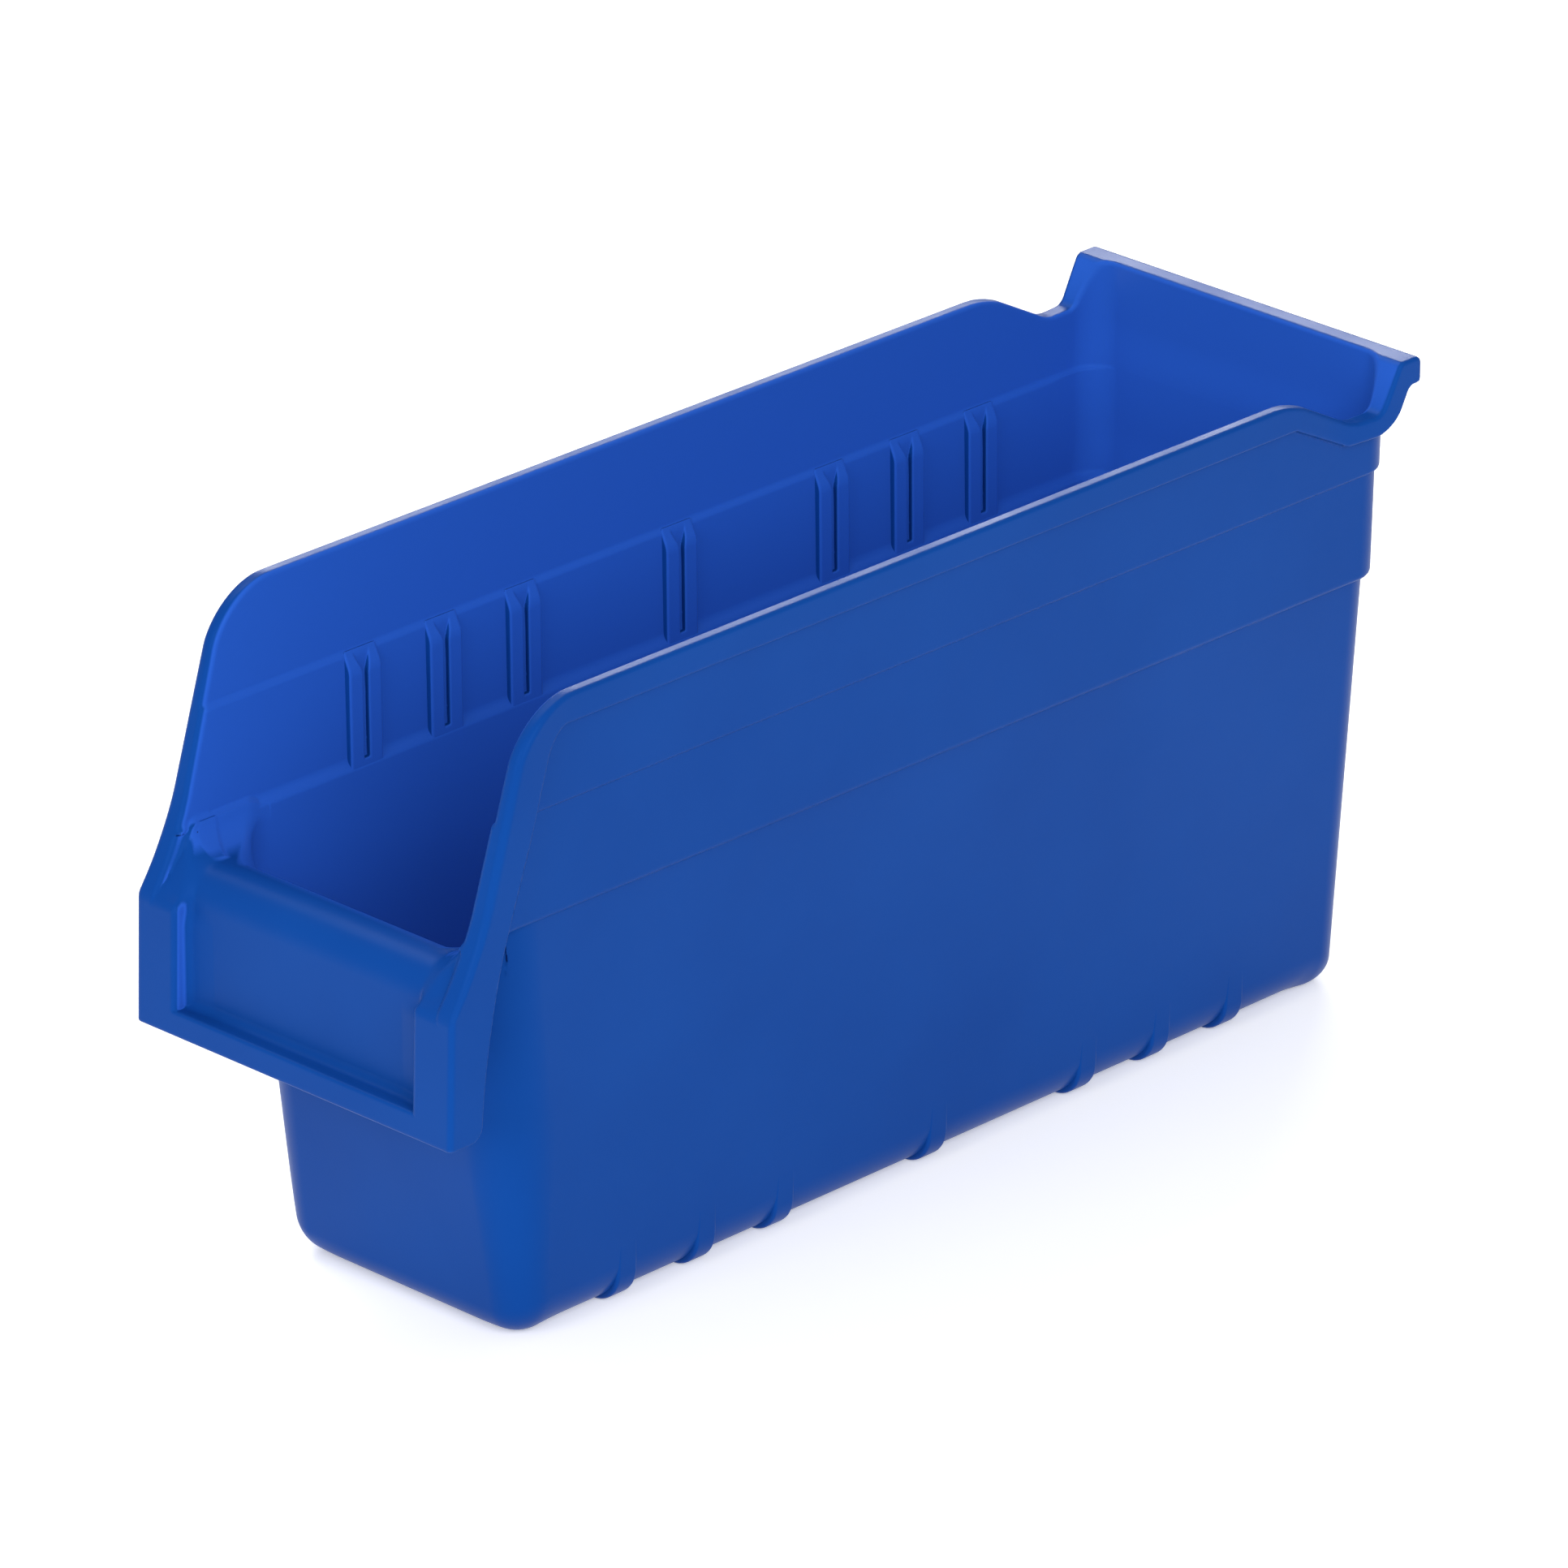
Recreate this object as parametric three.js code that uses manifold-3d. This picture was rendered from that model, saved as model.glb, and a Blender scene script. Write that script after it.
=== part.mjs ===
// Shelf and hopper storage bin, injection moulded in one shot of polypropylene.
// Millimetres, +Z up. The hopper front faces -Y, the rear lip +Y. The origin is
// the centre of the footprint on the surface that the bin stands on.
// The named meshes are the moulding's own features: floor, wall bands, rims,
// front flanges, hopper lip, label panel, rear lip, divider slots and feet.

import * as THREE from 'three';
import * as BufferGeometryUtils from 'three/addons/utils/BufferGeometryUtils.js';
import Module from 'manifold-3d';

const wasm = await Module();
wasm.setup();

// ---- driving dimensions -------------------------------------------------

const LENGTH = 297.2;            // over the label panel and the rear lip
const HEIGHT = 152.4;            // top of the rear lip
const WALL = 2.0;                // moulded wall thickness
const SEAM = 0.1;                // clearance kept between neighbouring meshes

const STEP_LOW = 101.6;          // height of the lower outside step
const STEP_HIGH = 127.0;         // height of the upper outside step
const RIM_TOP = 151.8;           // top of the side rims
const RIM_DEPTH = 6.6;           // height of the bead under the rim top

const BASE_HALF_WIDTH = 35.85;   // lower band, draft line carried down to z = 0
const LOWER_DRAFT = 0.0654;      // growth of the half width per mm of height
const BAND_DRAFT = 0.0177;
const MIDDLE_HALF_WIDTH = 44.0;  // middle band at the lower step
const UPPER_HALF_WIDTH = 45.2;   // upper band at the upper step
const RIM_HALF_WIDTH = 47.0;
const LIP_HALF_WIDTH = 48.5;     // rear lip
const PANEL_HALF_WIDTH = 47.4;   // label panel

const FRONT_FOOT_Y = -117.5;     // front wall, lean line carried down to z = 0
const FRONT_LEAN = 0.137;
const REAR_FOOT_Y = 141.2;
const REAR_DRAFT = 0.0117;
const REAR_STEP_LOW = 1.2;       // how far each band of the rear wall stands out
const REAR_STEP_HIGH = 1.9;

const FRONT_CORNER = 13;         // plan radius of the two front corners
const REAR_CORNER = 9;
const SIDE_FOOT_RADIUS = 11.5;   // rounding where the side walls meet the floor
const FRONT_FOOT_RADIUS = 7;
const REAR_FOOT_RADIUS = 3.5;

const FRONT = -LENGTH / 2;
const REAR = LENGTH / 2;
const CLEAR = 60;                // half width of the tool solids that span the bin

const STEP_ROUND = 1.2;          // rounded lower edge of the band over the lower step
const LEDGE_RISE = 2.2;          // height of the inside ledge over each step
const FLOOR_SEAM = WALL + 0.6;   // where the floor ends and the walls begin

// Side outline, in (y, z): slanted front, rim, dip in the rim and rear post.
const SLANT_FOOT = [FRONT + 7.9, 98.1];      // where the flange leaves the shoulder
const SLANT_TOP = [FRONT + 21.3, 142.0];     // where it runs into the rim arc
const RIM_START = FRONT + 34.3;              // end of the rim arc
const CREST = 109.5;                         // start of the dip
const DIP = { front: 129.5, rear: 136.9, z: 141.9, under: 136.2 };
const POST = { front: 142.6, rear: 147.4, inner: 36 };

const FLANGE = { thickness: 2.0, skin: 1.4, depth: 9.0, halfWidth: 47.2 };
const LIP = { radius: 8.0, y: FRONT + 13.0, z: 88.6, base: 88.0, flat: 33, fillet: 8.6 };
const PANEL = { bottom: 59.8, recessBottom: 65.6, shoulder: 89.0, half: 35.4, lean: 0.9 };
const RECESS_Y = LIP.y - LIP.radius;         // plane of the label recess

// Feet and divider slots share one row of places; two places are left free.
const PITCH = 23.8;
const FIRST_PLACE = -86.4;
const PLACES = [0, 1, 2, 4, 6, 7, 8].map((k) => FIRST_PLACE + PITCH * k);
const FOOT = { width: 6.0, top: 14.5, inner: 26, radius: 7.5 };
const SLOT = { rib: 4.0, gap: 2.0, leadIn: 4.0, sill: 1.2 };

// ---- small tools --------------------------------------------------------

const blue = { color: 0x14489c, roughness: 0.32, metalness: 0 };

const yzToWorld = new THREE.Matrix4().makeBasis(
  new THREE.Vector3(0, 1, 0), new THREE.Vector3(0, 0, 1), new THREE.Vector3(1, 0, 0));

function toSolid(geometry) {
  const bare = geometry.clone();
  bare.deleteAttribute('normal');
  bare.deleteAttribute('uv');
  const merged = BufferGeometryUtils.mergeVertices(bare, 1e-4);
  const mesh = new wasm.Mesh({
    numProp: 3,
    vertProperties: new Float32Array(merged.attributes.position.array),
    triVerts: new Uint32Array(merged.index.array),
  });
  return new wasm.Manifold(mesh);
}

function toGeometry(solid) {
  const mesh = solid.getMesh();
  const geometry = new THREE.BufferGeometry();
  geometry.setAttribute('position', new THREE.BufferAttribute(mesh.vertProperties, 3));
  geometry.setIndex(new THREE.BufferAttribute(mesh.triVerts, 1));
  geometry.computeVertexNormals();
  return geometry;
}

// A ring in a plane of constant z or constant x, as a flat outline.
function flatten(ring) {
  const level = ring.every((p) => Math.abs(p.z - ring[0].z) < 1e-6);
  return ring.map((p) => (level ? new THREE.Vector2(p.x, p.y) : new THREE.Vector2(p.y, p.z)));
}

// A solid through rings with equal point counts, in rising z or x, capped at both ends.
function loft(rings) {
  const clockwise = THREE.ShapeUtils.isClockWise(flatten(rings[0]));
  const turned = clockwise ? rings.map((ring) => [...ring].reverse()) : rings;
  const count = turned[0].length;
  const last = (turned.length - 1) * count;
  const index = [];
  for (let start = 0; start < last; start += count) {
    for (let i = 0; i < count; i += 1) {
      const a = start + i;
      const b = start + ((i + 1) % count);
      index.push(a, b, b + count, a, b + count, a + count);
    }
  }
  for (const [a, b, c] of THREE.ShapeUtils.triangulateShape(flatten(turned[0]), [])) {
    index.push(a, c, b);
  }
  for (const [a, b, c] of THREE.ShapeUtils.triangulateShape(flatten(turned.at(-1)), [])) {
    index.push(last + a, last + b, last + c);
  }
  const position = turned.flat().flatMap((p) => [p.x, p.y, p.z]);
  const geometry = new THREE.BufferGeometry();
  geometry.setAttribute('position', new THREE.Float32BufferAttribute(position, 3));
  geometry.setIndex(index);
  return toSolid(geometry);
}

function box(x0, x1, y0, y1, z0, z1) {
  const geometry = new THREE.BoxGeometry(x1 - x0, y1 - y0, z1 - z0);
  geometry.translate((x0 + x1) / 2, (y0 + y1) / 2, (z0 + z1) / 2);
  return toSolid(geometry);
}

// Extrude a side outline, given in (y, z), from x0 to x1.
function slab(shape, x0, x1) {
  const geometry = new THREE.ExtrudeGeometry(shape, {
    depth: x1 - x0, bevelEnabled: false, curveSegments: 6,
  });
  geometry.translate(0, 0, x0);
  geometry.applyMatrix4(yzToWorld);
  return toSolid(geometry);
}

// Extrude a plan outline, given in (x, y), from z0 to z1.
function prism(points, z0, z1) {
  const shape = new THREE.Shape(points.map(([x, y]) => new THREE.Vector2(x, y)));
  const geometry = new THREE.ExtrudeGeometry(shape, { depth: z1 - z0, bevelEnabled: false });
  geometry.translate(0, 0, z0);
  return toSolid(geometry);
}

// Extrude a cross section, given in (x, z), from y0 to y1.
function crossSlab(points, y0, y1) {
  const shape = new THREE.Shape(points.map(([x, z]) => new THREE.Vector2(x, z)));
  const geometry = new THREE.ExtrudeGeometry(shape, { depth: y1 - y0, bevelEnabled: false });
  geometry.rotateX(Math.PI / 2);
  geometry.translate(0, y1, 0);
  return toSolid(geometry);
}

function outline(points) {
  return new THREE.Shape(points.map(([y, z]) => new THREE.Vector2(y, z)));
}

const mirrored = (solid) => solid.mirror([1, 0, 0]);

// ---- wall surfaces ------------------------------------------------------

function halfWidth(z) {
  if (z <= STEP_LOW) return BASE_HALF_WIDTH + LOWER_DRAFT * z;
  if (z <= STEP_HIGH) return MIDDLE_HALF_WIDTH + BAND_DRAFT * (z - STEP_LOW);
  return UPPER_HALF_WIDTH + BAND_DRAFT * (z - STEP_HIGH);
}

function rearY(z) {
  const step = z <= STEP_LOW ? 0 : z <= STEP_HIGH ? REAR_STEP_LOW : REAR_STEP_HIGH;
  return REAR_FOOT_Y + REAR_DRAFT * z + step;
}

const frontY = (z) => FRONT_FOOT_Y - FRONT_LEAN * z;

// How far a rounding of the given radius draws the wall in at height z.
function footInset(z, radius) {
  if (z >= radius) return 0;
  return radius - Math.sqrt(radius * radius - (radius - z) ** 2);
}

// A plan ring with quarter-round corners: front radius rf, rear radius rr.
function planRing(half, front, rear, rf, rr, z) {
  const steps = 6;
  const corners = [
    [half - rr, rear - rr, rr, 0], [-half + rr, rear - rr, rr, 90],
    [-half + rf, front + rf, rf, 180], [half - rf, front + rf, rf, 270],
  ];
  return corners.flatMap(([x, y, r, start]) => Array.from({ length: steps + 1 }, (_, i) => {
    const angle = THREE.MathUtils.degToRad(start + (90 * i) / steps);
    return new THREE.Vector3(x + r * Math.cos(angle), y + r * Math.sin(angle), z);
  }));
}

// The cup under the lower step, offset inwards by t.
function cup(t, top) {
  const bottom = t;
  const [side, front, rear] = [SIDE_FOOT_RADIUS, FRONT_FOOT_RADIUS, REAR_FOOT_RADIUS]
    .map((radius) => radius - t);
  const levels = [0, 0.6, 1.8, 3.5, 6, side].map((h) => bottom + h);
  return loft([...levels, top].map((z) => {
    const sideInset = footInset(z - bottom, side) + t;
    const frontInset = footInset(z - bottom, front) + t;
    const rearInset = footInset(z - bottom, rear) + t;
    return planRing(halfWidth(Math.min(z, STEP_LOW)) - sideInset, frontY(z) + frontInset,
      rearY(Math.min(z, STEP_LOW)) - rearInset, FRONT_CORNER - t, REAR_CORNER - t, z);
  }));
}

// The straight-sided bands over the lower step, offset inwards by t. They run past the front.
function bands(t) {
  const ring = (z, zRef) => planRing(halfWidth(zRef) - t, FRONT - 10, rearY(zRef) - t,
    0.5, REAR_CORNER - t, z);
  const edge = 0.02;
  const rise = t === 0 ? STEP_ROUND : LEDGE_RISE;
  return loft([
    ring(STEP_LOW, STEP_LOW - edge), ring(STEP_LOW + rise, STEP_LOW + edge),
    ring(STEP_HIGH, STEP_HIGH - edge), ring(STEP_HIGH + rise / 2, STEP_HIGH + edge),
    ring(HEIGHT + 10 * t + 5, HEIGHT),
  ]);
}

const outerCup = cup(0, STEP_LOW);
const innerCup = cup(WALL, STEP_LOW + 0.5);
const outerBands = bands(0);
const innerBands = bands(WALL);
const cavity = innerCup.add(innerBands);
const cupShell = outerCup.subtract(cavity);
const bandShell = outerBands.subtract(cavity);

// ---- side outline ---------------------------------------------------------

// Under edge of the rim bead: round the front arc, from the rear forwards.
const UNDER_END = [SLANT_TOP[0] + 6.8, SLANT_TOP[1] - 7];
const underArc = new THREE.QuadraticBezierCurve(
  new THREE.Vector2(RIM_START + 3, RIM_TOP - RIM_DEPTH),
  new THREE.Vector2(SLANT_TOP[0] + 9.2, RIM_TOP - RIM_DEPTH - 0.3),
  new THREE.Vector2(...UNDER_END)).getPoints(6);

// Under edge of the rear post, from the dip rearwards.
const underPost = [
  ...new THREE.QuadraticBezierCurve(
    new THREE.Vector2(136.6, DIP.under),
    new THREE.Vector2(140.4, DIP.under + 0.4),
    new THREE.Vector2(142.4, 139.8)).getPoints(5),
  new THREE.Vector2(144.9, 145.2),
];

const rimOutline = new THREE.Shape();
rimOutline.moveTo(SLANT_TOP[0], SLANT_TOP[1]);
rimOutline.quadraticCurveTo(SLANT_TOP[0] + 2.9, RIM_TOP, RIM_START, RIM_TOP);
rimOutline.lineTo(CREST, RIM_TOP);
rimOutline.lineTo(DIP.front - 1.5, DIP.z + 0.7);
rimOutline.quadraticCurveTo(DIP.front, DIP.z, DIP.front + 2, DIP.z);
rimOutline.lineTo(DIP.rear, DIP.z);
rimOutline.lineTo(POST.front, HEIGHT);
rimOutline.lineTo(POST.rear, HEIGHT);
rimOutline.lineTo(REAR, HEIGHT - 1.8);
rimOutline.lineTo(REAR, 147.0);
rimOutline.lineTo(REAR - 0.9, 146.0);
for (const p of [...underPost].reverse()) rimOutline.lineTo(p.x, p.y);
rimOutline.lineTo(128.6, DIP.under);
rimOutline.lineTo(CREST + 1, RIM_TOP - RIM_DEPTH);
for (const p of underArc) rimOutline.lineTo(p.x, p.y);
rimOutline.lineTo(SLANT_TOP[0], SLANT_TOP[1] - SEAM / 2);

// Everything that the walls may fill: behind the flange and under the rim bead.
const slantY = (z) => SLANT_FOOT[0]
  + ((SLANT_TOP[0] - SLANT_FOOT[0]) * (z - SLANT_FOOT[1])) / (SLANT_TOP[1] - SLANT_FOOT[1]);
const wallFront = (z) => slantY(z) + FLANGE.thickness + SEAM;
const WALL_CORNER_Z = SLANT_TOP[1] - 1.8;
const wallOutline = outline([
  [wallFront(STEP_LOW), STEP_LOW],
  [wallFront(WALL_CORNER_Z), WALL_CORNER_Z],
  ...[...underArc].reverse().map((p) => [p.x + SEAM, p.y - SEAM]),
  [CREST + 1, RIM_TOP - RIM_DEPTH - SEAM],
  [128.6, DIP.under - SEAM],
  ...underPost.map((p) => [p.x + SEAM, p.y - SEAM]),
  [REAR, underPost.at(-1).y - SEAM],
  [REAR, STEP_LOW],
]);

// ---- meshes -------------------------------------------------------------

const bin = new THREE.Group();
bin.name = 'storage_bin';

function addMesh(name, solid) {
  const mesh = new THREE.Mesh(toGeometry(solid), new THREE.MeshStandardMaterial(blue));
  mesh.name = name;
  bin.add(mesh);
}

function addPair(name, rightSolid) {
  addMesh(`${name}_right`, rightSolid);
  addMesh(`${name}_left`, mirrored(rightSolid));
}

// Plan regions: front, rear and side of the cup are split at 45 degrees through the corners.
const FAR = 400;
const rearCut = REAR_FOOT_Y - BASE_HALF_WIDTH - 4;
const frontCut = FRONT_FOOT_Y + BASE_HALF_WIDTH - 4.6;
const LIP_REACH = FRONT_FOOT_Y + 0.5;

function rearRegion(z0, z1) {
  return prism([[0, rearCut + SEAM], [FAR, rearCut + FAR], [-FAR, rearCut + FAR]], z0, z1);
}

function frontRegion(z0, z1) {
  return prism([[0, frontCut - SEAM], [-FAR, frontCut - FAR], [FAR, frontCut - FAR]], z0, z1);
}

// The right-hand side between the rear split and the given front end.
function sideRegion(frontNear, frontFar, z0, z1) {
  return prism([[0, frontNear], [FAR, frontFar], [FAR, rearCut + FAR], [0, rearCut]], z0, z1);
}

function addFloorAndCup() {
  const floorTop = FLOOR_SEAM - SEAM;
  const lipZone = box(0, CLEAR, FRONT, LIP_REACH, LIP.base - SEAM, STEP_LOW);
  addMesh('floor_pan', cupShell.intersect(box(-CLEAR, CLEAR, FRONT, REAR, 0, floorTop)));
  addMesh('front_wall', cupShell.intersect(frontRegion(FLOOR_SEAM, LIP.base - SEAM)));
  addMesh('rear_wall_lower', cupShell.intersect(rearRegion(FLOOR_SEAM, STEP_LOW - SEAM)));
  addPair('side_wall_lower', cupShell
    .intersect(sideRegion(frontCut, frontCut - FAR, FLOOR_SEAM, STEP_LOW - SEAM))
    .subtract(lipZone));
}

function addBands() {
  const underRim = slab(wallOutline, -CLEAR, CLEAR);
  const underLip = POST.inner + SEAM;
  const lipRoom = box(-underLip, underLip, 0, REAR, DIP.under - SEAM, HEIGHT);
  const levels = [['middle', STEP_LOW, STEP_HIGH - SEAM], ['upper', STEP_HIGH, HEIGHT]];
  for (const [name, z0, z1] of levels) {
    addMesh(`rear_wall_${name}`, bandShell
      .intersect(rearRegion(z0, z1)).intersect(underRim).subtract(lipRoom));
    addPair(`side_wall_${name}`, bandShell
      .intersect(sideRegion(FRONT, FRONT, z0, z1)).intersect(underRim));
  }
}

// Rim bead with the rear post. The outer face swells out towards the rear lip.
function addRims() {
  const flareStart = 118;
  const flareEnd = 142;
  const geometry = new THREE.ExtrudeGeometry(rimOutline, {
    depth: 1, bevelEnabled: false, curveSegments: 6,
  });
  const place = geometry.attributes.position;
  for (let i = 0; i < place.count; i += 1) {
    const flare = THREE.MathUtils.smoothstep(place.getX(i), flareStart, flareEnd);
    const outer = RIM_HALF_WIDTH + (LIP_HALF_WIDTH - RIM_HALF_WIDTH) * flare;
    place.setZ(i, place.getZ(i) > 0.5 ? outer : POST.inner + SEAM);
  }
  geometry.applyMatrix4(yzToWorld);
  addPair('rim', toSolid(geometry).subtract(cavity));
}

// Rear lip between the two posts: the wall turned over rearwards and down.
function addRearLip() {
  const hookFoot = 146.4;
  const wallOut = rearY(HEIGHT);
  const hook = outline([
    [wallOut - WALL, DIP.under], [wallOut, DIP.under], [wallOut, HEIGHT - WALL],
    [REAR - WALL, HEIGHT - WALL], [REAR - WALL, hookFoot], [REAR, hookFoot],
    [REAR, HEIGHT - 1.2], [REAR - 1.2, HEIGHT], [wallOut - WALL, HEIGHT],
  ]);
  addMesh('rear_lip', slab(hook, -POST.inner, POST.inner));
}

// Front flange: a plate over the slanted edge of the wall with a side return.
function addFlanges() {
  const back = (p, d) => [p[0] + d, p[1]];
  const foot = [SLANT_FOOT[0], SLANT_FOOT[1] + SEAM];
  const low = [SLANT_FOOT[0], SLANT_FOOT[1] - 1];
  const top = [SLANT_TOP[0], SLANT_TOP[1] - SEAM];
  const inner = POST.inner;
  const whole = outline([
    foot, top, [UNDER_END[0], UNDER_END[1] - SEAM], back(foot, FLANGE.depth - 1)]);
  const hollow = outline([
    back(low, FLANGE.thickness - 0.2), back(top, FLANGE.thickness), back(top, 20), back(low, 20)]);
  const lipRoom = box(0, halfWidth(STEP_LOW + SEAM) - WALL, FRONT, 0, LIP.base, STEP_LOW + SEAM);
  addPair('front_flange', slab(whole, inner, FLANGE.halfWidth)
    .subtract(slab(hollow, inner - 1, FLANGE.halfWidth - FLANGE.skin))
    .subtract(innerBands)
    .subtract(lipRoom));
}

// Hopper lip: a hollow roll across the front, turned up into both side walls.
const LIP_HALF = halfWidth(STEP_LOW + SEAM) - WALL - SEAM;

function lipRise(x) {
  const over = Math.max(Math.abs(x) - LIP.flat, 0);
  return LIP.fillet - Math.sqrt(LIP.fillet ** 2 - Math.min(over, LIP.fillet - 0.2) ** 2);
}

function cupFrontInside(x) {
  const half = halfWidth(95) - WALL;
  const radius = FRONT_CORNER - WALL;
  const over = Math.min(Math.max(Math.abs(x) - (half - radius), 0), radius);
  return frontY(LIP.base) + WALL + radius - Math.sqrt(radius * radius - over * over);
}

function lipRing(x, inset) {
  const steps = 8;
  const backY = cupFrontInside(x);
  const backRadius = LIP.radius - 4.5 * THREE.MathUtils.smoothstep(Math.abs(x), 30, 41);
  const rise = lipRise(x);
  const ring = [new THREE.Vector3(x, RECESS_Y + inset, LIP.base)];
  const arc = (cy, cz, radius, from, to) => {
    for (let i = 0; i <= steps; i += 1) {
      const angle = THREE.MathUtils.degToRad(from + ((to - from) * i) / steps);
      ring.push(new THREE.Vector3(x, cy + radius * Math.cos(angle), cz + radius * Math.sin(angle)));
    }
  };
  arc(LIP.y, LIP.z + rise, LIP.radius - inset, 180, 90);
  const backZ = LIP.z + rise + LIP.radius - backRadius;
  arc(Math.max(backY - backRadius, LIP.y + 0.01), backZ, backRadius - inset, 90, 0);
  ring.push(new THREE.Vector3(x, backY - inset, LIP.base));
  return ring;
}

function lipSolid(inset, stretch) {
  const stations = Array.from({ length: 29 }, (_, i) => LIP_HALF * (i / 14 - 1) * stretch);
  return loft(stations.map((x) => lipRing(x, inset)));
}

function addHopperLip() {
  const outer = lipSolid(0, 1);
  const inner = lipSolid(WALL, 1.01);
  const roll = outer.subtract(inner);
  const zone = box(-CLEAR, CLEAR, FRONT, LIP_REACH - SEAM, LIP.base, STEP_LOW - SEAM);
  const corner = cupShell.intersect(zone).intersect(outer);
  const room = bands(WALL + SEAM)
    .add(box(-LIP_HALF, LIP_HALF, FRONT, 0, LIP.base - 1, STEP_LOW));
  const front = box(-CLEAR, CLEAR, FRONT, LIP_REACH - SEAM, LIP.base, HEIGHT);
  addMesh('hopper_lip', roll.intersect(front).add(corner).intersect(room));
}

// Label panel between two side frames, with the recess for the label card.
function panelFaceY(z) {
  return FRONT + (PANEL.lean * (z - PANEL.bottom)) / (PANEL.shoulder - PANEL.bottom);
}

function addLabelPanel() {
  const face = panelFaceY(PANEL.recessBottom);
  const profile = outline([
    [FRONT, PANEL.bottom], [FRONT + WALL, PANEL.bottom],
    [face + WALL, PANEL.recessBottom - WALL],
    [RECESS_Y + WALL, PANEL.recessBottom - WALL],
    [RECESS_Y + WALL, LIP.base - SEAM], [RECESS_Y, LIP.base - SEAM],
    [RECESS_Y, PANEL.recessBottom], [face, PANEL.recessBottom],
  ]);
  addMesh('label_panel', slab(profile, -PANEL.half + SEAM, PANEL.half - SEAM));
}

function addSideFrames() {
  const shoulderY = panelFaceY(PANEL.shoulder);
  const top = [SLANT_FOOT[0], SLANT_FOOT[1] - SEAM];
  const back = FRONT + 10.2;
  const round = 3.5;
  const whole = new THREE.Shape();
  whole.moveTo(FRONT, PANEL.bottom);
  whole.lineTo(back - round, PANEL.bottom);
  whole.quadraticCurveTo(back, PANEL.bottom, back, PANEL.bottom + round);
  whole.lineTo(back + 1.2, 83);
  whole.lineTo(top[0] + FLANGE.depth - 1, top[1]);
  whole.lineTo(top[0], top[1]);
  whole.quadraticCurveTo(top[0] - 0.8, top[1] - 3, top[0] - 2.8, top[1] - 4.6);
  whole.lineTo(shoulderY, PANEL.shoulder);
  const hollow = outline([
    [FRONT + WALL, PANEL.bottom - 1], [back + 20, PANEL.bottom - 1], [back + 20, top[1] - WALL],
    [top[0] + 0.8, top[1] - WALL], [shoulderY + WALL, PANEL.shoulder - 0.8],
  ]);
  const innerSkin = box(PANEL.half, PANEL.half + WALL, FRONT - 1, RECESS_Y + WALL,
    PANEL.bottom, LIP.base - SEAM);
  const shell = slab(whole, PANEL.half, PANEL_HALF_WIDTH)
    .subtract(slab(hollow, PANEL.half - 1, PANEL_HALF_WIDTH - WALL));
  const solid = shell.add(innerSkin.intersect(slab(whole, PANEL.half, PANEL_HALF_WIDTH)));
  addPair('side_frame', solid.subtract(lipSolid(-SEAM, 1.002)));
}

// Feet fill the rounded foot of the side walls, flush with the wall's draft line.
function addFeet() {
  const clearance = cup(-SEAM, STEP_LOW);
  const faceX = (z) => halfWidth(z) + 0.02 * (FOOT.top - z);
  const edge = [0, 0.6, 1.8, 3.5, FOOT.radius].map((z) => [faceX(z) - footInset(z, FOOT.radius), z]);
  const profile = [
    [FOOT.inner, 0], ...edge, [faceX(FOOT.top) - 0.2, FOOT.top], [FOOT.inner, FOOT.top],
  ];
  PLACES.forEach((y, i) => {
    const block = crossSlab(profile, y - FOOT.width / 2, y + FOOT.width / 2);
    addPair(`foot_${i + 1}`, block.subtract(clearance));
  });
}

// Each slot is a pair of ribs on the middle band, joined by a sill on the ledge.
function addDividerSlots() {
  const bottom = STEP_LOW + SEAM;
  const ribTop = STEP_HIGH - 0.5;
  const faceX = halfWidth(STEP_LOW) - WALL;
  const wallX = halfWidth(STEP_HIGH) - WALL;
  const profile = [
    [faceX, bottom], [wallX + WALL, bottom], [wallX + WALL, ribTop],
    [wallX - 0.1, ribTop], [faceX + 0.2, STEP_HIGH - SLOT.leadIn],
  ];
  const clearance = bandShell.translate([-SEAM, 0, 0]).add(bandShell);
  const room = box(0, wallX + 0.05, FRONT, REAR, bottom, STEP_HIGH);
  const near = SLOT.gap / 2;
  const far = near + SLOT.rib;
  PLACES.forEach((y, i) => {
    const sill = crossSlab(profile, y - near - 0.5, y + near + 0.5)
      .intersect(box(0, CLEAR, FRONT, REAR, bottom, bottom + SLOT.sill));
    const ribs = crossSlab(profile, y - far, y - near).add(crossSlab(profile, y + near, y + far));
    addPair(`divider_slot_${i + 1}`, ribs.add(sill).subtract(clearance).intersect(room));
  });
}

addFloorAndCup();
addBands();
addRims();
addRearLip();
addFlanges();
addHopperLip();
addLabelPanel();
addSideFrames();
addFeet();
addDividerSlots();

export default bin;
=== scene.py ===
"""Shelf storage bin: the moulded surface, its plastic, a pale floor and soft studio light.

The bin's solid is one signed field in millimetres, negative in the plastic, whose edges
are rounded as they are joined. A mesh of each named feature is drawn from that field, so
neighbouring features meet in one smooth surface. x is measured from the middle plane.
The faces on the cuts between features lie just under that surface, so that no seam shows.
Their edges aren't joined to it, and a feature that has such cuts isn't a closed mesh.
"""

import math

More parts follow.
